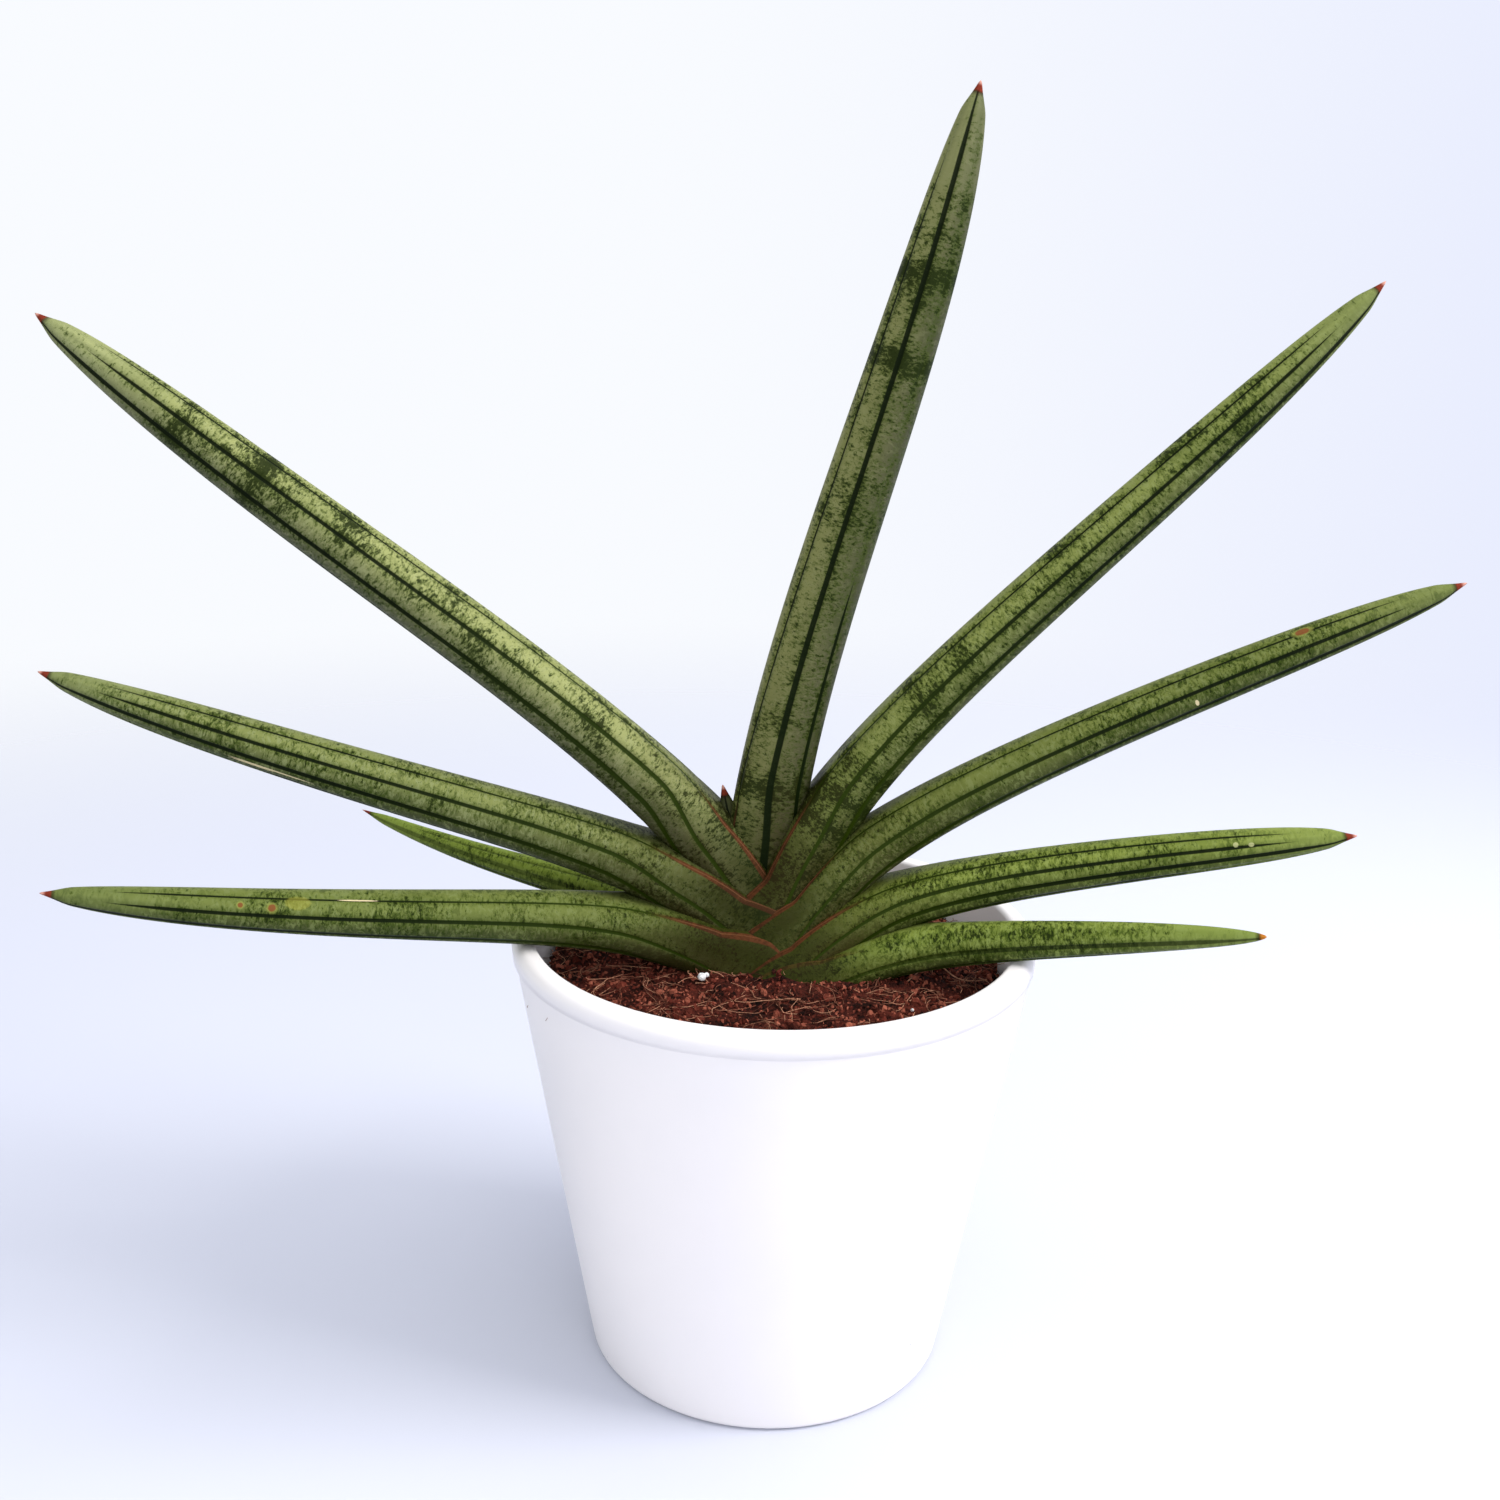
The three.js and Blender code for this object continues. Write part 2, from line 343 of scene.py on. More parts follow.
LINE_EDGE = 0.16 * MM
LIP_WIDTH = 0.6 * MM
DRY_TIP = 2.7 * MM
DRY_BLUNT_TIP = 1.6 * MM

# Chart colours of the skin
LINE_TOP = (8, 17, 2)
MID_GREEN = (52, 68, 12)
SPOT_GREEN = (20, 30, 3)
SPOT_BROWN = (32, 26, 7)
CROWN_OLIVE = (28, 30, 1)
CROWN_BROWN = (35, 24, 7)
WEATHERED = (64, 56, 32)
MARGIN_BROWNS = ((78, 42, 22), (52, 29, 14))
MARGIN_RIM = (112, 74, 50)
MARK_TONES = {
    "scar": (205, 190, 150), "rust": (112, 64, 36), "pale": (160, 162, 112), "yellow": (150, 148, 60),
}
RUST_HALO = (136, 138, 66)
SINGED = (34, 18, 11)
DRY_TONES = ((112, 44, 30), (190, 140, 126))
DRY_BLUNT_TONES = ((160, 100, 34), (176, 124, 58))


@dataclass
class Leaf:
    """One leaf: angles in degrees, sizes in millimetres, and distances up the leaf from its foot."""

    name: str
    node: str
    foot: tuple  # where it starts, in X and Y, on the rhizome
    heading: float  # the way it leans, seen from above, anticlockwise from +X
    lean: tuple  # its angle from upright: at the foot, and once it has bent out
    bend: float  # the length over which it bends out
    droop: float  # how much further it leans by its tip
    length: float
    thickness: float  # across the leaf where it leaves the crown
    swell: float  # how much it thickens from tip to foot, as a share
    sheath: float  # half the front-to-back depth of the foot that clasps the leaves inside it
    inner: float  # how far the clasping part reaches towards the leaves inside it
    opens: float  # the distance below which its two arms spread apart
    closes: float  # the distance at which its two margins meet and close into one round leaf
    lip: float  # turn from the inner side to the closed lip, on the free part
    line_gap: float  # turn between one dark line and the next
    long_line: int  # which line, counted from the lip, runs on to the tip
    ground: tuple  # chart colour between the mottles
    mottle: float  # amount of dark speckling
    marble: float  # amount of pale crosswise marbling
    bands: tuple = ()  # dark cross bands: (share of the length, strength)
    marks: tuple = ()  # blemishes: (distance, turn, half length, half width, kind)
    seed: int = 0  # draws its own unevenness and shifts its skin's pattern
    lip_line: float = 1.0  # how strongly the closed lip shows as a line
    outer_end: float = 0.7  # share of the length at which the lines outside the long one fade out
    line_low: tuple = (34, 47, 4)  # chart colour of its lines, low down
    line_strength: float = 0.97  # how fully the lines cover the skin
    blunt: bool = False  # a rounded, ochre tip with no drawn-out point


LEAVES = [
    Leaf("spike_leaf", "leaf_spike", (-3, -1), 180, (4, 16), 30, -2, 69, 8.5, 0.3,
         sheath=4.5, inner=4.2, opens=10, closes=25, lip=35, line_gap=55, long_line=1,
         ground=(56, 57, 40), mottle=0.5, marble=0.2, seed=1),
    Leaf("centre_leaf", "leaf_centre", (-1, -2), -2, (-13.5, 43.5), 90, -28.5, 259.5, 22, 0.36,
         sheath=8, inner=10.5, opens=20, closes=60, lip=36, line_gap=48, long_line=1,
         ground=(89, 91, 63), mottle=0.75, marble=0.25, seed=2, outer_end=0.45, line_low=(11, 21, 3),
         bands=((0.27, 0.8), (0.345, 0.35), (0.565, 0.4), (0.73, 1.0), (0.815, 0.9), (0.85, 0.45),
                (0.89, 0.55))),
    Leaf("left_leaf_1", "leaf_left_1", (-3, -2), 182, (-15, 60), 42.5, -9, 280, 20, 0.26,
         sheath=14.5, inner=11.2, opens=36, closes=66, lip=20, line_gap=46, long_line=2,
         ground=(108, 112, 80), mottle=0.8, marble=0.35, seed=3,
         bands=((0.21, 0.4), (0.37, 0.35), (0.5, 0.3), (0.665, 0.5), (0.755, 1.0), (0.84, 0.7))),
    Leaf("right_leaf_1", "leaf_right_1", (1, -2), -2, (-16.5, 60), 55, -17, 264.5, 19.5, 0.53,
         sheath=18.5, inner=8.4, opens=43, closes=64, lip=33, line_gap=45, long_line=2,
         ground=(93, 100, 60), mottle=0.8, marble=0.6, seed=4,
         bands=((0.24, 0.6), (0.27, 0.7), (0.31, 0.5), (0.4, 0.6), (0.46, 0.4), (0.6, 0.3), (0.77, 0.3))),
    Leaf("left_leaf_2", "leaf_left_2", (-5, -2), 184, (-25, 79.5), 28, -10.5, 231.5, 19.5, 0.6,
         sheath=20.5, inner=12.4, opens=36, closes=58, lip=30, line_gap=40, long_line=2,
         ground=(91, 97, 63), mottle=0.6, marble=0.9, seed=5,
         marks=((166, 127, 12, 0.28, "scar"), (171, 131, 6.5, 0.22, "scar"))),
    Leaf("right_leaf_2", "leaf_right_2", (3, -3), -4, (-22.5, 62), 31.5, 4, 233, 17.5, 0.55,
         sheath=23.3, inner=6.8, opens=38, closes=50, lip=34, line_gap=46.5, long_line=2,
         ground=(80, 87, 49), mottle=0.5, marble=1.0, seed=6,
         marks=((189.5, -28, 1.9, 1.0, "rust"), (157.5, -106, 0.5, 1.0, "scar"))),
    Leaf("left_leaf_3", "leaf_left_3", (-8, -4), 194, (-8.5, 92.5), 23.5, -13.5, 203, 17.5, 0.67,
         sheath=23.5, inner=11.6, opens=29, closes=42, lip=34, line_gap=49, long_line=2,
         ground=(78, 86, 49), mottle=0.5, marble=0.85, seed=7,
         marks=((123.5, 33, 5.5, 0.25, "scar"), (145.5, 62, 1.0, 1.0, "rust"),
                (153.5, 58, 0.7, 0.7, "rust"), (139, 45, 3.4, 2.2, "yellow"))),
    Leaf("right_leaf_3", "leaf_right_3", (6, -4), -8, (-17.5, 77), 24, 3.5, 175.5, 17, 0.56,
         sheath=26, inner=9.4, opens=24, closes=40, lip=36, line_gap=35, long_line=2,
         ground=(90, 100, 51), mottle=0.5, marble=0.85, seed=8,
         marks=((143.5, -62, 0.7, 0.7, "pale"), (147.5, -66, 0.8, 0.6, "pale"))),
    Leaf("left_leaf_4", "leaf_left_4", (-7, 3), 165, (2.5, 102), 25, -30.5, 137.5, 15, 2.2,
         sheath=17.5, inner=9, opens=22, closes=32, lip=36, line_gap=46, long_line=1,
         ground=(94, 108, 48), mottle=0.45, marble=0.6, seed=9, line_strength=0.45),
    Leaf("right_leaf_4", "leaf_right_4", (8.5, -7), -16, (-2, 79.5), 17, 3, 138, 15.5, 1.2,
         sheath=25.5, inner=10, opens=23, closes=29, lip=50, line_gap=46.5, long_line=1,
         ground=(86, 97, 48), mottle=0.5, marble=1.0, seed=10, lip_line=0.1, line_strength=0.7,
         blunt=True),
]


def spine_of(leaf, distances):
    """Points along a leaf's middle, with the directions towards its inner side and across it."""
    heading = math.radians(leaf.heading)
    outward = np.array([math.cos(heading), math.sin(heading), 0.0])
    up = np.array([0.0, 0.0, 1.0])

    def lean_at(distance):
        bent = leaf.lean[1] + (leaf.lean[0] - leaf.lean[1]) * np.exp(-distance / (leaf.bend * MM))
        return np.radians(bent + leaf.droop * distance / (leaf.length * MM))

    steps = int(leaf.length * MM / SPINE_STEP)
    size = leaf.length * MM / steps
    middles = lean_at((np.arange(steps) + 0.5) * size)
    travel = np.outer(np.sin(middles), outward) + np.outer(np.cos(middles), up)
    path = np.vstack([np.zeros(3), np.cumsum(travel * size, axis=0)])
    path += [leaf.foot[0] * MM, leaf.foot[1] * MM, LEAF_BASE_HEIGHT]
    places = np.arange(steps + 1) * size
    points = np.stack([np.interp(distances, places, path[:, axis]) for axis in range(3)], axis=1)
    lean = lean_at(distances)
    inward = np.outer(-np.cos(lean), outward) + np.outer(np.sin(lean), up)
    along = np.outer(np.sin(lean), outward) + np.outer(np.cos(lean), up)
    return points, inward, np.cross(inward, along)


def half_thickness(leaf, distances):
    """Half a free leaf's thickness: swollen towards its foot and drawn out to a point at its tip."""
    share = np.clip(1 - distances / (leaf.length * MM), 0, 1)
    taper = (1 - np.exp(-share / TIP_TAPER)) ** TIP_POWER
    half = leaf.thickness / 2 * MM * taper * (1 + leaf.swell * share) / (1 + leaf.swell)
    if leaf.blunt:
        return half
    return half * (TIP_FINENESS + (1 - TIP_FINENESS) * smooth(leaf.length * MM - distances, 0, TIP_POINT))


def lip_turn(leaf, distances):
    """The turn from a leaf's inner side to its margin, which closes to a lip above the clasping part."""
    spread = smooth(distances, (leaf.closes + 14) * MM, (leaf.closes - 8) * MM)
    return math.radians(leaf.lip) + (CLASP_CORNER - math.radians(leaf.lip)) * spread


def leaf_mesh(leaf):
    """A leaf's skin: a round free part over a foot that is squared off to clasp the leaves inside it."""
    rng = np.random.default_rng(leaf.seed)
    length = leaf.length * MM
    share = np.linspace(0, 1, LEAF_ROWS)
    eased = (1 - np.cos(math.pi * share)) / 2
    distances = length * ((1 - ROWS_CLOSER_AT_ENDS) * share + ROWS_CLOSER_AT_ENDS * eased)[:-1]
    points, inward, across = spine_of(leaf, distances)
    half = half_thickness(leaf, distances)
    clasp = bell(distances, CLASP_REACH * leaf.closes * MM + CLASP_EXTRA)
    depth = half + (leaf.sheath * MM - half) * clasp
    settle = np.exp(-((distances / (SETTLE_SHARE * leaf.closes * MM)) ** 4))
    reach = half + (leaf.inner * MM - half) * settle
    reach += ARM_SPREAD * np.maximum(0, leaf.opens * MM - distances)
    reach = np.minimum(reach, ARM_LIMIT)

    turn = np.linspace(0, 2 * math.pi, LEAF_COLUMNS, endpoint=False)[None, :]
    cosine, sine = np.cos(turn), np.sin(turn)
    squared = cosine > 0
    power = np.where(squared, 2 + CLASP_SQUARENESS * clasp[:, None], 2.0)
    size = (np.abs(cosine) ** power + np.abs(sine) ** power) ** (-1 / power)
    inner_part, side_part = size * cosine, size * sine
    angle = np.arctan2(sine, cosine)

    # Relief: a shallow groove along each dark line, a raised margin and a slow unevenness
    lip = lip_turn(leaf, distances)
    order = (np.abs(angle) - lip[:, None]) / math.radians(leaf.line_gap)
    nearest = np.maximum(np.round(order), 0)
    from_line = np.abs(order - nearest) * math.radians(leaf.line_gap) * half[:, None]
    fullness = smooth(half, 1.5 * MM, 5 * MM)[:, None]
    relief = -GROOVE_DEPTH * bell(from_line, GROOVE_WIDTH) * fullness * (1 - 0.6 * clasp[:, None])
    edge = (np.abs(angle) - lip[:, None]) * half[:, None]
    held = smooth(distances, (leaf.closes + 5) * MM, (leaf.closes - 8) * MM)[:, None]
    relief = relief + MARGIN_RISE * bell(edge - 0.2 * MM, MARGIN_WIDTH) * held
    for _ in range(WAVES):
        turns_over, period = rng.integers(1, 4), rng.uniform(18, 60) * MM
        phase = rng.uniform(0, 2 * math.pi, 2)
        swing = np.cos(turns_over * turn + phase[0]) * np.cos(distances[:, None] / period + phase[1])
        relief = relief + WAVE_HEIGHT * swing * fullness

    inner_reach = np.where(squared, reach[:, None], half[:, None])
    rings = (
        points[:, None, :]
        + (inward[:, None, :] * (inner_part * (inner_reach + relief))[:, :, None])
        + (across[:, None, :] * (side_part * (depth[:, None] + relief))[:, :, None])
    )
    tip = spine_of(leaf, np.array([length]))[0]
    mesh = ring_mesh(leaf.name, rings, (points[0], tip[0]))
    face_outwards(mesh)

    radius = np.hypot(inner_part * inner_reach, side_part * depth[:, None])
    straight = np.stack([radius * cosine, radius * sine, distances[:, None] + 0 * turn], axis=2)
    ends = [[0, 0, 0], [0, 0, length]]
    band = sum(
        (strength * bell(distances - place * length, BAND_WIDTH) for place, strength in leaf.bands),
        np.zeros_like(distances),
    )
    point_values(mesh, "straight", np.vstack([straight.reshape(-1, 3), ends]), "FLOAT_VECTOR")
    for name, values in (("clasp", clasp), ("lip", lip), ("band", band)):
        column = np.repeat(values, LEAF_COLUMNS)
        point_values(mesh, name, np.concatenate([column, [values[0], values[-1]]]))
    return mesh


def stored_value(maker, name):
    return maker.out("ShaderNodeAttribute", {"attribute_name": name}, None, "Fac")


def ground_tone(leaf, factors):
    """The leaf's ground colour made lighter or darker, by a factor for each of red, green and blue."""
    return paint(*(min(255, value * factor) for value, factor in zip(leaf.ground, factors)))


def leaf_lines(maker, leaf, turn, lip, girth, distance, clasp, broad, jagged):
    """How much each place belongs to a dark line, and how far it is from the nearest line's middle."""
    gap = math.radians(leaf.line_gap)
    from_tip = leaf.length * MM - distance
    order = (turn - lip) / gap + (broad - 0.5) * 0.04
    nearest = maker.largest(maker.math("ROUND", order), 0.0)
    offset = abs(order - nearest) * gap * girth + (jagged - 0.5) * (0.25 * MM)
    is_lip = maker.math("COMPARE", nearest, 0.0, 0.1)
    is_long = maker.math("COMPARE", nearest, float(leaf.long_line), 0.1)
    is_outer = maker.math("GREATER_THAN", nearest, leaf.long_line + 0.5)
    fade_start, fade_end = leaf.outer_end * leaf.length * MM, (leaf.outer_end + 0.07) * leaf.length * MM
    outer_end = maker.step(distance, fade_end, fade_start)
    side_end = maker.step(from_tip, 13 * MM, 34 * MM) * (1.0 - is_outer * (1.0 - outer_end))
    long_end = maker.step(from_tip, 2 * MM, 20 * MM, 0.35, 1.0)
    low_down = maker.step(distance, 0.65 * leaf.length * MM, 0.2 * leaf.length * MM)
    fullness = is_long * long_end * 1.15 + (1.0 - is_long) * side_end * 0.85
    line_width = LINE_WIDTH * (1.0 + low_down * 0.3 + clasp * 0.5) * fullness
    half_line = (is_lip * (LIP_WIDTH * leaf.lip_line * side_end) + (1.0 - is_lip) * line_width) * 0.5
    line = maker.step(offset - half_line, LINE_EDGE, -LINE_EDGE) * maker.step(half_line, 0.0, 0.1 * MM)
    return line, offset, low_down


def add_blemishes(maker, leaf, colour, distance, signed, girth, jagged):
    """Scars, rust spots and pale flecks, each at its own place on the leaf."""
    for place, at_turn, half_length, half_width, kind in leaf.marks:
        up_leaf = (distance - place * MM) / (half_length * MM)
        around = (signed - math.radians(at_turn)) * girth / (half_width * MM)
        spread = up_leaf * up_leaf + around * around + (jagged - 0.5) * 1.2
        mark = maker.step(spread, 1.15, 0.65)
        if kind == "rust":
            halo = maker.step(spread, 3.2, 1.0)
            colour = maker.blend(halo * 0.5, colour, paint(*RUST_HALO))
        strength = 0.35 if kind == "yellow" else 0.9
        colour = maker.blend(mark * strength, colour, paint(*MARK_TONES[kind]))
    return colour


def leaf_material(leaf):
    """Waxy green skin: dark lengthwise lines, crosswise mottling, red-brown margins and a dry tip."""
    made, maker = material(leaf.name + "_skin")
    straight = maker.out("ShaderNodeAttribute", {"attribute_name": "straight"}, None, "Vector")
    parts = maker.node("ShaderNodeSeparateXYZ", None, {0: straight})
    x, y, distance = (Value(maker, socket) for socket in parts.outputs)
    clasp, lip, band = (stored_value(maker, name) for name in ("clasp", "lip", "band"))
    signed = maker.math("ARCTAN2", y, x)
    turn = abs(signed)
    girth = maker.math("SQRT", x * x + y * y)
    from_tip = leaf.length * MM - distance

    # Patterns in the straightened leaf's own coordinates, each leaf with its own stretch of the noise
    own_place = {0: straight, 1: (leaf.seed * 0.37, 0, 0)}
    own = maker.out("ShaderNodeVectorMath", {"operation": "ADD"}, own_place)
    jagged = maker.noise(maker.stretch(own, (560, 560, 1150)), 1, 6, 0.74, 0.3)
    freckles = maker.noise(maker.stretch(own, (1300, 1300, 2300)), 1, 4, 0.7)
    clusters = maker.noise(maker.stretch(own, (110, 110, 75)), 1, 3, 0.6)
    strands = maker.noise(maker.stretch(own, (1500, 1500, 25)), 1, 2, 0.5)
    veins = maker.noise(maker.stretch(own, (330, 330, 620)), 1, 4, 0.6, 1.2)
    broad = maker.noise(maker.stretch(own, (60, 60, 22)), 1, 2, 0.5)
    pores = maker.noise(own, 3800, 2, 0.5)
    line, offset, low_down = leaf_lines(maker, leaf, turn, lip, girth, distance, clasp, broad, jagged)

    # Ground colour with crosswise marbling; painted light makes the upper side lighter and painted shade
    # makes the underside darker
    painted_light_top, painted_shade_under = ground_tone(leaf, (1.28, 1.28, 1.12)), ground_tone(leaf, (0.74, 0.74, 0.76))
    deep = ground_tone(leaf, (0.5, 0.62, 0.34))
    pale = paint(*(min(255, value * 1.3 + 8) for value in leaf.ground))
    colour = maker.blend(maker.step(turn, 0.7, 2.5), painted_light_top, painted_shade_under)
    streak = maker.step(veins, 0.5, 0.62)
    colour = maker.blend(streak * (0.7 * leaf.marble), colour, pale)
    dark_streak = maker.step(veins, 0.49, 0.38) * maker.step(clusters, 0.3, 0.55)
    colour = maker.blend(dark_streak * (0.75 * leaf.marble), colour, deep)
    colour = maker.blend(maker.step(broad, 0.5, 0.75) * 0.3, colour, deep)

    # Towards the crown the skin turns olive, and brown on its underside
    olive = maker.step(clasp, 0.0, 0.6)
    colour = maker.blend(olive * maker.step(turn, 2.2, 1.0) * 0.92, colour, paint(*CROWN_OLIVE))
    brown = olive * maker.step(turn + broad * 0.9, 1.5, 2.4)
    colour = maker.blend(brown * 0.9, colour, paint(*CROWN_BROWN))
    lower_half = maker.step(distance, 0.5 * leaf.length * MM, 0.12 * leaf.length * MM)
    weathered = lower_half * maker.step(broad, 0.3, 0.7)
    colour = maker.blend(weathered * (1.0 - olive * 0.8) * 0.45, colour, paint(*WEATHERED))

    # Mottles: soft green blotches with dark hearts, fine freckles and cross bands
    by_line = maker.step(offset, 2.4 * MM, 0.3 * MM)
    by_tip = maker.step(from_tip, 45 * MM, 8 * MM)
    colour = maker.blend(by_tip * 0.4, colour, pale)
    away = 1.0 - olive * 0.85
    raised = jagged + (clusters - 0.5) * 0.36 + band * 0.16 + clasp * 0.1 + by_line * 0.05 - by_tip * 0.1
    start = 0.6 - 0.1 * leaf.mottle
    mid_green = paint(*MID_GREEN)
    spot = maker.blend(weathered, paint(*SPOT_GREEN), paint(*SPOT_BROWN))
    colour = maker.blend(by_line * away * 0.22, colour, mid_green)
    colour = maker.blend(maker.step(raised, start - 0.03, start + 0.04) * away * 0.6, colour, mid_green)
    mottle = maker.step(raised, start + 0.05, start + 0.1)
    colour = maker.blend(mottle * 0.85, colour, spot)
    fine = maker.step(freckles + (clusters - 0.5) * 0.3 + clasp * 0.05 - by_tip * 0.1, 0.57, 0.62)
    colour = maker.blend(fine * (0.25 + 0.35 * leaf.mottle), colour, spot)
    colour = maker.blend(maker.step(band, 0.2, 1.0) * 0.2, colour, spot)

    # Lines, greener low down
    line_colour = maker.blend(low_down, paint(*LINE_TOP), paint(*leaf.line_low))
    colour = maker.blend(line * leaf.line_strength, colour, line_colour)

    # Margin: a red-brown edge with a pale rim, which ends where the lip closes
    edge = (turn - lip) * girth
    open_part = maker.step(distance, (leaf.closes + 6) * MM, (leaf.closes - 6) * MM)
    held = open_part * min(1.0, 0.2 + leaf.lip_line)
    margin_width = maker.step(clasp, 0.25, 0.7, 0.4 * MM, 1.5 * MM)
    margin = maker.step(edge - margin_width, 0.25 * MM, -0.15 * MM) * maker.step(edge, -1.0 * MM, -0.6 * MM)
    worn = maker.step(clusters + jagged, 0.85, 1.2)
    red_brown = maker.blend(worn, *(paint(*tone) for tone in MARGIN_BROWNS))
    colour = maker.blend(margin * held * 0.92, colour, red_brown)
    rim = maker.step(abs(edge), 0.3 * MM, 0.1 * MM) * held * maker.step(clasp, 0.95, 0.5)
    colour = maker.blend(rim * 0.4, colour, paint(*MARGIN_RIM))
    colour = add_blemishes(maker, leaf, colour, distance, signed, girth, jagged)

    # Dry tip
    dry_length = DRY_BLUNT_TIP if leaf.blunt else DRY_TIP
    ragged = from_tip + (clusters - 0.5) * (2.0 * MM)
    singed = maker.step(ragged, dry_length + 1.6 * MM, dry_length + 0.2 * MM)
    dry = maker.step(ragged, dry_length + 0.5 * MM, dry_length - 0.2 * MM)
    bleached = maker.step(ragged, 0.6 * dry_length, 0.15 * dry_length)
    tip_tones = DRY_BLUNT_TONES if leaf.blunt else DRY_TONES
    colour = maker.blend(singed * 0.75, colour, paint(*SINGED))
    colour = maker.blend(dry, colour, maker.blend(bleached, *(paint(*tone) for tone in tip_tones)))

    roughness = 0.44 + (broad - 0.5) * 0.16 + mottle * 0.05 + dry * 0.35 + margin * held * 0.15
    height = strands * 0.22 + pores * 0.1 + mottle * 0.06 + streak * 0.05 - line * 0.5
    height = height + dry * clusters * 2.0
    surface(
        maker, Base_Color=colour, Roughness=roughness, Normal=maker.bump(height, 0.22 * MM, 0.8),
        Specular_IOR_Level=0.04,
    )
    return made


def make_leaves():
    for leaf in LEAVES:
        add_piece(leaf.name, leaf_mesh(leaf), leaf_material(leaf), [leaf.node])


# ---- Pot ----

POT_HEIGHT = 131.3 * MM
POT_BASE_RADIUS = 53.1 * MM
POT_BODY_RADIUS = 74 * MM
POT_RIM_RADIUS = 75 * MM
POT_MOUTH_RADIUS = 68.8 * MM
POT_FLOOR = 5 * MM
RIM_BAND = 6 * MM
RIM_OUTER_ROUND = 3 * MM
RIM_INNER_ROUND = 1.5 * MM
BAND_FILLET = 0.9 * MM
BASE_ROUND = 2.5 * MM
FLOOR_ROUND = 5 * MM
POT_SEGMENTS = 256
SPECK_CELLS = 46.0  # cells to a metre, some of which hold a speck
WALL_SLOPE = (POT_BODY_RADIUS - POT_BASE_RADIUS) / (POT_HEIGHT - RIM_BAND)


def arc(centre, radius, start, end, steps):
    """Points (radius from the axis, height) round part of a circle, angles in degrees."""
    turns = np.radians(np.linspace(start, end, steps + 1))
    return [(centre[0] + radius * math.cos(turn), centre[1] + radius * math.sin(turn)) for turn in turns]


def straight_run(start, end, steps):
    """The points between two outline points, without the two themselves."""
    return [tuple(np.array(start) + (np.array(end) - start) * i / steps) for i in range(1, steps)]


def inner_wall_radius(height):
    """The inside radius of the tapered wall at a height."""
    return POT_MOUTH_RADIUS - (POT_HEIGHT - RIM_INNER_ROUND - height) * WALL_SLOPE


def turned(name, outline, segments):
    """A skin turned about the Z axis from an outline whose two ends are on the axis."""
    turns = np.linspace(0, 2 * math.pi, segments, endpoint=False)
    rings = np.array([
        [(radius * math.cos(turn), radius * math.sin(turn), height) for turn in turns]
        for radius, height in outline[1:-1]
    ])
    poles = [(0, 0, height) for _, height in (outline[0], outline[-1])]
    mesh = ring_mesh(name, rings, poles)
    face_outwards(mesh)
    return mesh


def pot_outline():
    """The pot's outline from the middle of its underside, round the rim, to the middle of its floor."""
    band_foot = POT_HEIGHT - RIM_BAND
    floor_centre = POT_FLOOR + FLOOR_ROUND
    base = arc((POT_BASE_RADIUS - BASE_ROUND, BASE_ROUND), BASE_ROUND, -90, -10, 8)
    under_band = arc((POT_BODY_RADIUS + BAND_FILLET, band_foot - BAND_FILLET), BAND_FILLET, 170, 100, 4)
    outer_centre = (POT_RIM_RADIUS - RIM_OUTER_ROUND, POT_HEIGHT - RIM_OUTER_ROUND)
    inner_centre = (POT_MOUTH_RADIUS + RIM_INNER_ROUND, POT_HEIGHT - RIM_INNER_ROUND)
    outer_rim = arc(outer_centre, RIM_OUTER_ROUND, 0, 90, 10)
    inner_rim = arc(inner_centre, RIM_INNER_ROUND, 90, 180, 6)
    inside = arc((inner_wall_radius(floor_centre) - FLOOR_ROUND, floor_centre), FLOOR_ROUND, -5, -90, 8)
    return [
        (0, 0), (0.5 * POT_BASE_RADIUS, 0), *base, *straight_run(base[-1], under_band[0], 24), *under_band,
        *outer_rim, *inner_rim, *straight_run(inner_rim[-1], inside[0], 20), *inside,
        (0.5 * POT_BASE_RADIUS, POT_FLOOR), (0, POT_FLOOR),
    ]


def pot_material():
    """White satin glaze with a very faint unevenness, a few dark specks and small scuffs."""
    made, maker = material("white_satin_glaze")
    place = object_place(maker)
    cloud = maker.noise(place, 14, 3, 0.55)
    ripple = maker.noise(place, 55, 2, 0.5)
    grain = maker.noise(place, 2600, 2, 0.5)
    cells = maker.node("ShaderNodeTexVoronoi", {"feature": "F1"}, {"Vector": place, "Scale": SPECK_CELLS})
    chance = maker.out("ShaderNodeSeparateColor", None, {0: Value(maker, cells.outputs["Color"])})
    wobble = maker.noise(place, 900, 2, 0.5)
    reach = Value(maker, cells.outputs["Distance"]) / SPECK_CELLS + (wobble - 0.5) * (0.5 * MM)
    speck = maker.step(reach, 0.34 * MM, 0.16 * MM) * maker.step(chance, 0.78, 0.79)
    scuff_noise = maker.noise(maker.stretch(place, (60, 60, 160)), 1, 5, 0.75, 0.6)
    scuff = maker.step(scuff_noise, 0.73, 0.78) * 0.5
    colour = maker.blend(maker.step(cloud, 0.3, 0.7), paint(233, 229, 228), paint(229, 226, 226))
    colour = maker.blend(scuff, colour, paint(206, 206, 212))
    colour = maker.blend(speck * 0.85, colour, paint(96, 92, 94))
    roughness = 0.36 + (cloud - 0.5) * 0.14 + scuff * 0.25
    height = ripple * 0.6 + grain * 0.02 - speck * 0.3
    surface(maker, Base_Color=colour, Roughness=roughness, Normal=maker.bump(height, 0.12 * MM, 0.6))
    return made


def make_pot():
    add_piece("white_pot", turned("white_pot", pot_outline(), POT_SEGMENTS), pot_material(), ["pot"])


# ---- Potting mix ----

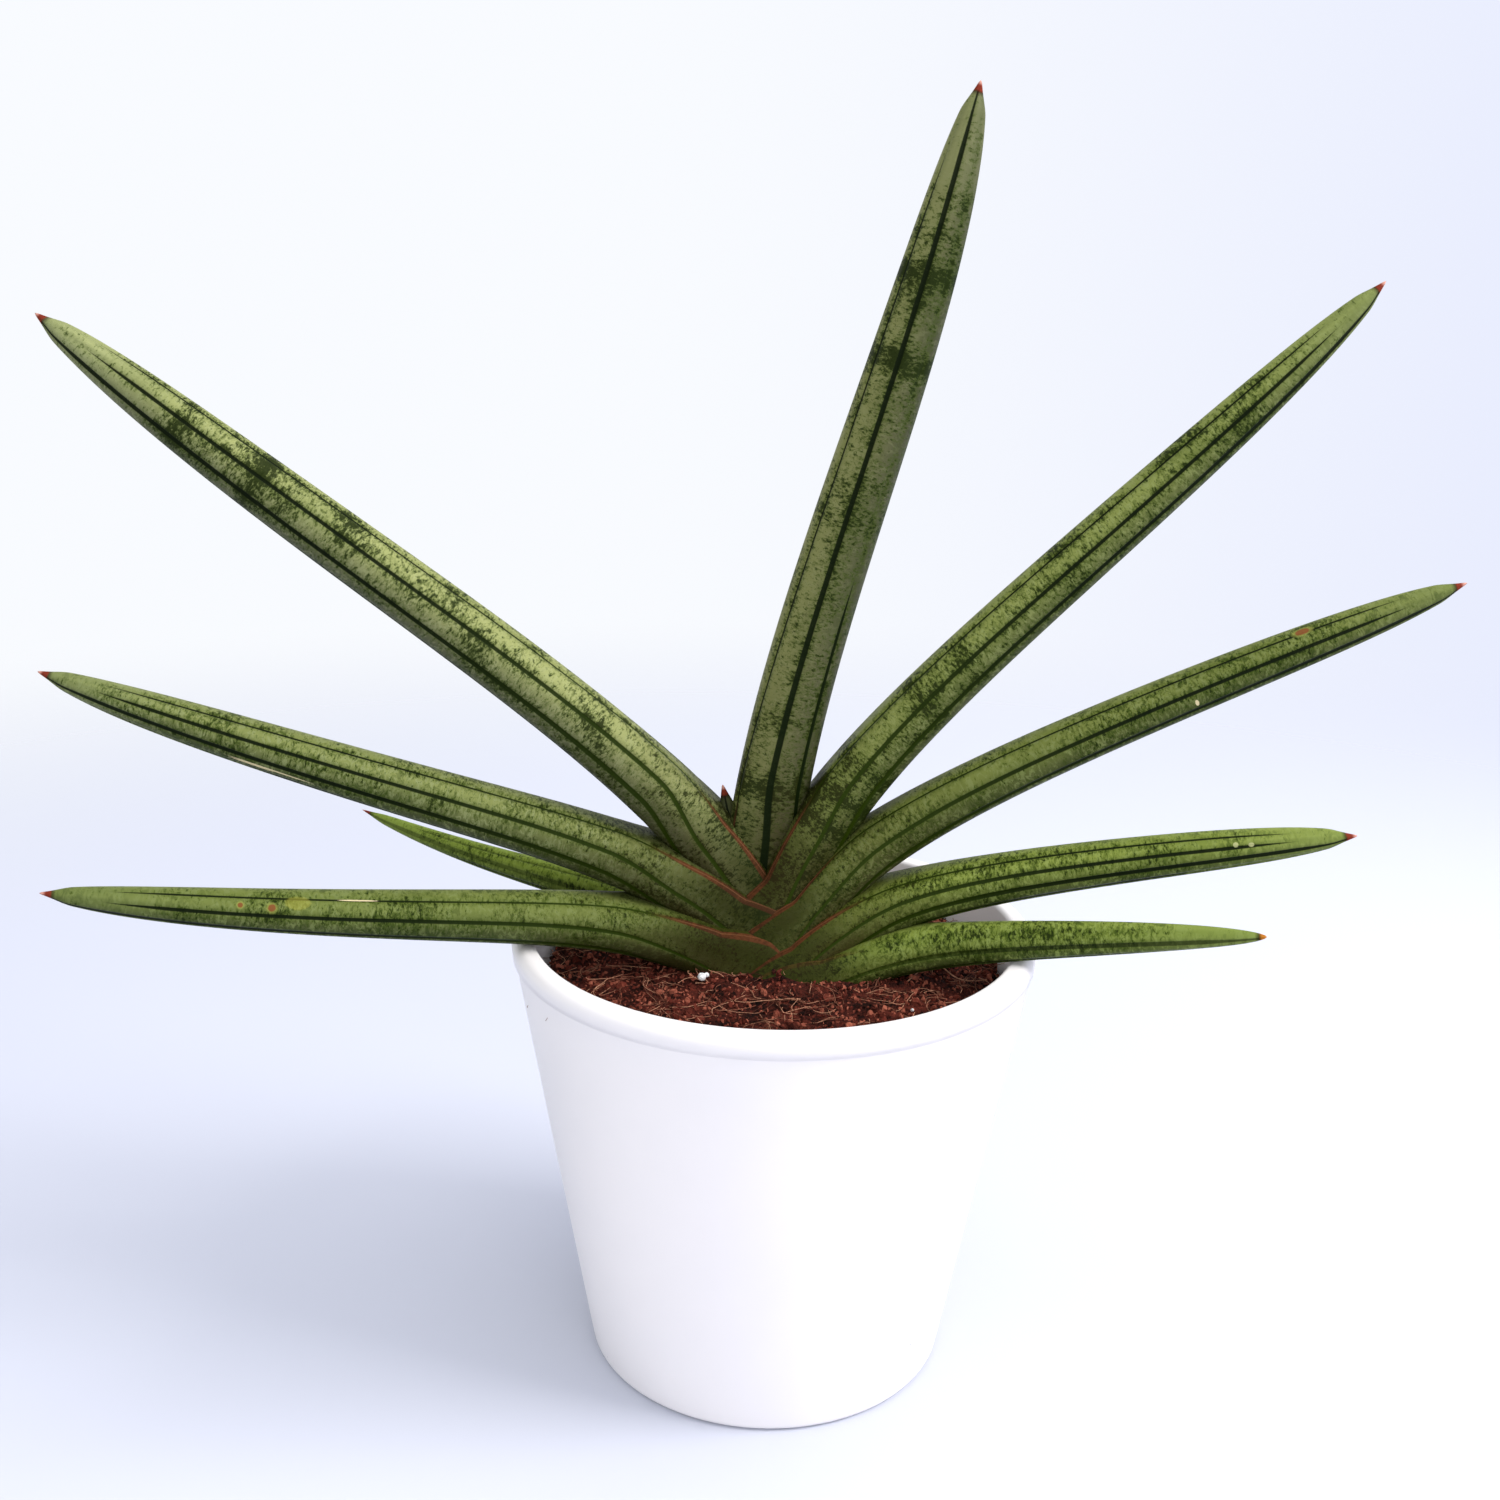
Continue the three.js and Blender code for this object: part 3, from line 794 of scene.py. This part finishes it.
MIX_EDGE_HEIGHT = 119.8 * MM
MIX_CROWN_HEIGHT = 126.6 * MM
MIX_EDGE_RADIUS = 64.5 * MM
MIX_SLOPE_RADIUS = 38.7 * MM
MIX_SLOPE_HEIGHT = 122.6 * MM
MIX_CROWN_RADIUS = 24 * MM
MIX_SHOULDER = 2.5 * MM
MIX_FREE_DEPTH = 10 * MM
MIX_SEGMENTS = 180
MIX_GAP = 0.3 * MM
CURLED_ROOT_WIDTH = 0.36 * MM
CURLED_ROOT_PATH = [  # X, Y and height above the mix, in millimetres
    (37, -20, 0.3), (39, -17, 0.8), (42, -12, 1.2), (45, -9.5, 1.6), (48, -10, 1.8), (50, -14.5, 1.4),
    (53, -17, 1.2), (57, -16.5, 1.5), (60, -14, 1.2),
]
GRIT = [  # X, Y and size, in millimetres
    (-19.8, -26.5, 2.4), (-18.6, -26.0, 1.6), (37.1, -36.5, 1.0), (4, -57.5, 0.6), (31, 40, 1.3),
]


def mix_height(radius):
    """How high the mix stands at a distance from the pot's axis."""
    places = [0, MIX_CROWN_RADIUS, MIX_SLOPE_RADIUS, MIX_EDGE_RADIUS - MIX_SHOULDER]
    heights = [MIX_CROWN_HEIGHT, MIX_CROWN_HEIGHT, MIX_SLOPE_HEIGHT, MIX_EDGE_HEIGHT]
    return float(np.interp(radius, places, heights))


def lumps(x, y):
    """The mix's uneven surface: a sum of slow waves, in metres."""
    rng = np.random.default_rng(21)
    height = 0.0
    for _ in range(14):
        heading, period = rng.uniform(0, 2 * math.pi), rng.uniform(5, 24) * MM
        phase = rng.uniform(0, 2 * math.pi)
        along = x * math.cos(heading) + y * math.sin(heading)
        height += 0.012 * period * math.sin(2 * math.pi * along / period + phase)
    return height


def mix_top_rings(rings):
    """Rings of points over the mix's open surface, from near the axis out to its rounded edge."""
    turns = np.linspace(0, 2 * math.pi, MIX_SEGMENTS, endpoint=False)
    flat_radius, shoulder = MIX_EDGE_RADIUS - MIX_SHOULDER, MIX_EDGE_HEIGHT - MIX_SHOULDER
    flat = [(radius, mix_height(radius)) for radius in np.linspace(1 * MM, flat_radius, rings)]
    edge = arc((flat_radius, shoulder), MIX_SHOULDER, 80, 0, 5)
    outline = [*flat, *edge, (MIX_EDGE_RADIUS + 0.4 * MM, shoulder - 2.5 * MM)]
    made = []
    for radius, height in outline:
        ring = []
        for turn in turns:
            x, y = radius * math.cos(turn), radius * math.sin(turn)
            lump = lumps(x, y)
            ring.append((x * (1 + 6 * lump), y * (1 + 6 * lump), height + lump))
        made.append(ring)
    return np.array(made)


def coir_material(name, dark, middle, light, roughness=0.9):
    """Moist coir: each crumb or fibre takes its own tone from dark to light."""
    made, maker = material(name)
    place = object_place(maker)
    tone = stored_value(maker, "tone")
    patch = maker.noise(place, 160, 3, 0.6)
    grain = maker.noise(place, 1500, 4, 0.7)
    amount = tone * 0.85 + (patch - 0.5) * 0.7 + (grain - 0.5) * 0.7 + 0.1
    colour = maker.blend(maker.step(amount, 0.05, 0.5), paint(*dark), paint(*middle))
    colour = maker.blend(maker.step(amount, 0.5, 1.0), colour, paint(*light))
    surface(maker, Base_Color=colour, Roughness=roughness, Normal=maker.bump(grain, 0.5 * MM, 0.9),
            Specular_IOR_Level=0.1)
    return made


def modifier_tree(name, inputs):
    """A Geometry Nodes tree; returns its maker, its named inputs as values and their identifiers."""
    tree = bpy.data.node_groups.new(name, "GeometryNodeTree")
    tree.interface.new_socket("Geometry", in_out="OUTPUT", socket_type="NodeSocketGeometry")
    identifiers = {}
    for label, kind in {"Bed": "NodeSocketGeometry", **inputs}.items():
        identifiers[label] = tree.interface.new_socket(label, in_out="INPUT", socket_type=kind).identifier
    maker = Maker(tree)
    entry = maker.node("NodeGroupInput")
    values = {label: Value(maker, entry.outputs[label]) for label in identifiers}
    return maker, values, identifiers


def grow(name, bed_mesh, maker, identifiers, result, settings):
    """Ends the tree, runs it on the bed and returns the plain mesh that it makes."""
    maker.node("NodeGroupOutput", None, {"Geometry": result})
    holder = bpy.data.objects.new(name + "_bed", bed_mesh)
    bpy.context.scene.collection.objects.link(holder)
    modifier = holder.modifiers.new(name, "NODES")
    modifier.node_group = maker.tree
    for label, value in settings.items():
        modifier[identifiers[label]] = value
    bpy.context.view_layer.update()
    evaluated = holder.evaluated_get(bpy.context.evaluated_depsgraph_get())
    mesh = bpy.data.meshes.new_from_object(evaluated)
    holder.modifiers.remove(modifier)
    bpy.data.objects.remove(holder)
    mesh.name = name
    return mesh


def random_value(maker, low, high, seed, kind="FLOAT"):
    """A different value for each point, between low and high."""
    first = {"FLOAT": 2, "FLOAT_VECTOR": 0}[kind]
    output = {"FLOAT": 1, "FLOAT_VECTOR": 0}[kind]
    inputs = {first: low, first + 1: high, "Seed": seed}
    return maker.out("FunctionNodeRandomValue", {"data_type": kind}, inputs, output)


def scatter(maker, given, shape, turn, scale, tone_seed):
    """Real copies of a shape at random points of the bed, each with its own turn, size and tone."""
    points = maker.node(
        "GeometryNodeDistributePointsOnFaces", {"distribute_method": "RANDOM"},
        {"Mesh": given["Bed"], "Density": given["Density"], "Seed": given["Seed"]},
    )
    places = Value(maker, points.outputs["Points"])
    placed = maker.out(
        "GeometryNodeInstanceOnPoints", None,
        {"Points": places, "Instance": shape, "Rotation": turn, "Scale": scale},
    )
    toned = maker.out(
        "GeometryNodeStoreNamedAttribute", {"data_type": "FLOAT", "domain": "INSTANCE"},
        {"Geometry": placed, "Name": "tone", "Value": random_value(maker, 0.0, 1.0, tone_seed)},
    )
    return maker.out("GeometryNodeRealizeInstances", None, {"Geometry": toned})


def shake(maker, shapes, scale, detail, middle, spread, distance):
    """Moves each point by a noise of its place, so that no two copies are alike."""
    place = maker.out("GeometryNodeInputPosition")
    inputs = {"Vector": place, "Scale": scale, "Detail": detail}
    push = maker.out("ShaderNodeTexNoise", None, inputs, "Color")
    push = maker.out("ShaderNodeVectorMath", {"operation": "SUBTRACT"}, {0: push, 1: middle})
    push = maker.stretch(push, spread)
    push = maker.out("ShaderNodeVectorMath", {"operation": "SCALE"}, {0: push, "Scale": distance})
    return maker.out("GeometryNodeSetPosition", None, {"Geometry": shapes, "Offset": push})


def crumb_mesh(name, bed_mesh, node_material, density, smallest, largest, detail, seed):
    """Scatters rough crumbs over the bed, each turned and squashed its own way."""
    inputs = {
        "Density": "NodeSocketFloat", "Smallest": "NodeSocketFloat", "Largest": "NodeSocketFloat",
        "Seed": "NodeSocketInt", "Material": "NodeSocketMaterial",
    }
    maker, given, identifiers = modifier_tree(name, inputs)
    shape = maker.out("GeometryNodeMeshIcoSphere", None, {"Radius": 0.5, "Subdivisions": detail})
    size = random_value(maker, given["Smallest"], given["Largest"], given["Seed"])
    squash = random_value(maker, (0.55, 0.45, 0.35), (1.35, 1.0, 0.8), given["Seed"], "FLOAT_VECTOR")
    scale = maker.out("ShaderNodeVectorMath", {"operation": "SCALE"}, {0: squash, "Scale": size})
    turn = random_value(maker, (-3.1, -3.1, -3.1), (3.1, 3.1, 3.1), given["Seed"], "FLOAT_VECTOR")
    crumbs = scatter(maker, given, shape, turn, scale, 5)
    rough = shake(maker, crumbs, 620.0, 3.0, (0.5, 0.5, 0.5), (1.0, 1.0, 1.0), 2.6 * MM)
    done = maker.out("GeometryNodeSetMaterial", None, {"Geometry": rough, "Material": given["Material"]})
    settings = {
        "Density": density, "Smallest": smallest, "Largest": largest, "Seed": seed,
        "Material": node_material,
    }
    return grow(name, bed_mesh, maker, identifiers, done, settings)


def fibre_mesh(name, bed_mesh, node_material, density, shortest, longest, width, curl, seed):
    """Lays loose fibres on the bed: thin threads, each bent its own way."""
    inputs = {
        "Density": "NodeSocketFloat", "Shortest": "NodeSocketFloat", "Longest": "NodeSocketFloat",
        "Width": "NodeSocketFloat", "Curl": "NodeSocketFloat", "Seed": "NodeSocketInt",
        "Material": "NodeSocketMaterial",
    }
    maker, given, identifiers = modifier_tree(name, inputs)
    thread = maker.out("GeometryNodeCurvePrimitiveLine", None, {"Start": (-0.5, 0, 0), "End": (0.5, 0, 0)})
    jointed = maker.out("GeometryNodeResampleCurve", None, {"Curve": thread, "Count": 11})
    size = random_value(maker, given["Shortest"], given["Longest"], given["Seed"])
    turn = random_value(maker, (-0.3, -0.28, -3.1), (0.3, 0.28, 3.1), given["Seed"], "FLOAT_VECTOR")
    threads = scatter(maker, given, jointed, turn, size, 6)
    bent = shake(maker, threads, 95.0, 1.5, (0.5, 0.5, 0.46), (1.0, 1.0, 0.35), given["Curl"])
    size_of_section = {"Resolution": 4, "Radius": given["Width"]}
    section = maker.out("GeometryNodeCurvePrimitiveCircle", None, size_of_section)
    sweep = {"Curve": bent, "Profile Curve": section, "Fill Caps": True}
    solid = maker.out("GeometryNodeCurveToMesh", None, sweep)
    whole = maker.out("GeometryNodeRealizeInstances", None, {"Geometry": solid})
    done = maker.out("GeometryNodeSetMaterial", None, {"Geometry": whole, "Material": given["Material"]})
    settings = {
        "Density": density, "Shortest": shortest, "Longest": longest, "Width": width / 2, "Curl": curl,
        "Seed": seed, "Material": node_material,
    }
    return grow(name, bed_mesh, maker, identifiers, done, settings)


def thread_mesh(name, points, thickness):
    """One bent fibre laid through a few points."""
    data = bpy.data.curves.new(name, "CURVE")
    data.dimensions = "3D"
    data.bevel_depth = thickness / 2
    data.bevel_resolution = 1
    data.resolution_u = 8
    data.use_fill_caps = True
    line = data.splines.new("NURBS")
    line.points.add(len(points) - 1)
    for control, point in zip(line.points, points):
        control.co = (*point, 1)
    line.use_endpoint_u = True
    holder = bpy.data.objects.new(name + "_line", data)
    bpy.context.scene.collection.objects.link(holder)
    bpy.context.view_layer.update()
    mesh = bpy.data.meshes.new_from_object(holder)
    bpy.data.objects.remove(holder)
    mesh.name = name
    point_values(mesh, "tone", np.full(len(mesh.vertices), 0.9))
    return mesh


def grit_mesh(name, places):
    """Small pale grains lying on the mix: (x, y, size) in millimetres."""
    rng = np.random.default_rng(9)
    shape = bmesh.new()
    for x, y, size in places:
        made = bmesh.ops.create_icosphere(shape, subdivisions=3, radius=size / 2 * MM)
        height = mix_height(math.hypot(x, y) * MM) + lumps(x * MM, y * MM) + 0.5 * size * MM + 0.7 * MM
        dents = rng.normal(size=(7, 3))
        for vertex in made["verts"]:
            side = vertex.co.normalized()
            cut = max(side.dot(Vector(dent).normalized()) for dent in dents)
            vertex.co *= 1.0 - 0.3 * max(0.0, cut - 0.55)
            vertex.co += Vector((x * MM, y * MM, height))
    mesh = bpy.data.meshes.new(name)
    shape.to_mesh(mesh)
    shape.free()
    mesh.shade_smooth()
    return mesh


def make_loose_pieces(straw):
    """A longer curled root and a few pale grains that lie on the mix."""
    points = [
        (x * MM, y * MM, mix_height(math.hypot(x, y) * MM) + rise * MM) for x, y, rise in CURLED_ROOT_PATH
    ]
    root = thread_mesh("curled_root", points, CURLED_ROOT_WIDTH)
    add_piece("curled_root", root, straw)
    made, maker = material("pale_grit")
    place = object_place(maker)
    pits = maker.noise(place, 1800, 3, 0.6)
    colour = maker.blend(maker.step(pits, 0.35, 0.65), paint(176, 176, 178), paint(232, 232, 230))
    surface(maker, Base_Color=colour, Roughness=0.8, Normal=maker.bump(pits, 0.3 * MM, 0.7))
    add_piece("pale_grit", grit_mesh("pale_grit", GRIT), made)


def make_mix():
    """The bed of coir, then the loose crumbs, fibres and grains that lie on its open top."""
    top = mix_top_rings(52)
    turns = np.linspace(0, 2 * math.pi, MIX_SEGMENTS, endpoint=False)
    wall_top = MIX_EDGE_HEIGHT - MIX_FREE_DEPTH
    floor_centre = POT_FLOOR + FLOOR_ROUND
    corner = (inner_wall_radius(floor_centre) - FLOOR_ROUND, floor_centre)
    below = [
        (inner_wall_radius(wall_top) - MIX_GAP, wall_top), *arc(corner, FLOOR_ROUND - MIX_GAP, -5, -90, 5),
    ]
    lower = np.array([[(r * math.cos(t), r * math.sin(t), height) for t in turns] for r, height in below])
    poles = ((0, 0, mix_height(0) + lumps(0, 0)), (0, 0, POT_FLOOR + MIX_GAP))
    bed = ring_mesh("coir_bed", np.concatenate([top, lower]), poles)
    face_outwards(bed)
    point_values(bed, "tone", np.full(len(bed.vertices), 0.15))
    coir = coir_material("moist_coir", (14, 4, 2), (90, 38, 28), (158, 91, 71))
    add_piece("coir_bed", bed, coir, ["potting_mix"])

    open_top = ring_mesh("open_top", top, (poles[0], None))
    fine = crumb_mesh("fine_crumbs", open_top, coir, 620000, 0.6 * MM, 1.5 * MM, 1, 3)
    add_piece("fine_crumbs", fine, coir)
    coarse = crumb_mesh("coarse_crumbs", open_top, coir, 80000, 1.3 * MM, 3.0 * MM, 2, 4)
    add_piece("coarse_crumbs", coarse, coir)
    straw = coir_material("coir_fibre", (54, 24, 17), (112, 66, 50), (196, 144, 114), 0.75)
    fibres = fibre_mesh("coir_fibres", open_top, straw, 110000, 3 * MM, 15 * MM, 0.17 * MM, 20 * MM, 7)
    add_piece("coir_fibres", fibres, straw)
    make_loose_pieces(straw)


def make_rhizome_look():
    """The buried crown and its roots keep their modelled shape and get a corky brown skin."""
    made, maker = material("corky_root")
    place = object_place(maker)
    cork = maker.noise(place, 240, 5, 0.65)
    colour = maker.blend(maker.step(cork, 0.35, 0.65), paint(120, 74, 40), paint(204, 152, 96))
    surface(maker, Base_Color=colour, Roughness=0.75, Normal=maker.bump(cork, 0.4 * MM, 0.7))
    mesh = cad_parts["rhizome"].data
    mesh.materials.clear()
    mesh.materials.append(made)


make_camera()
make_studio()
make_pot()
make_mix()
make_leaves()
make_rhizome_look()
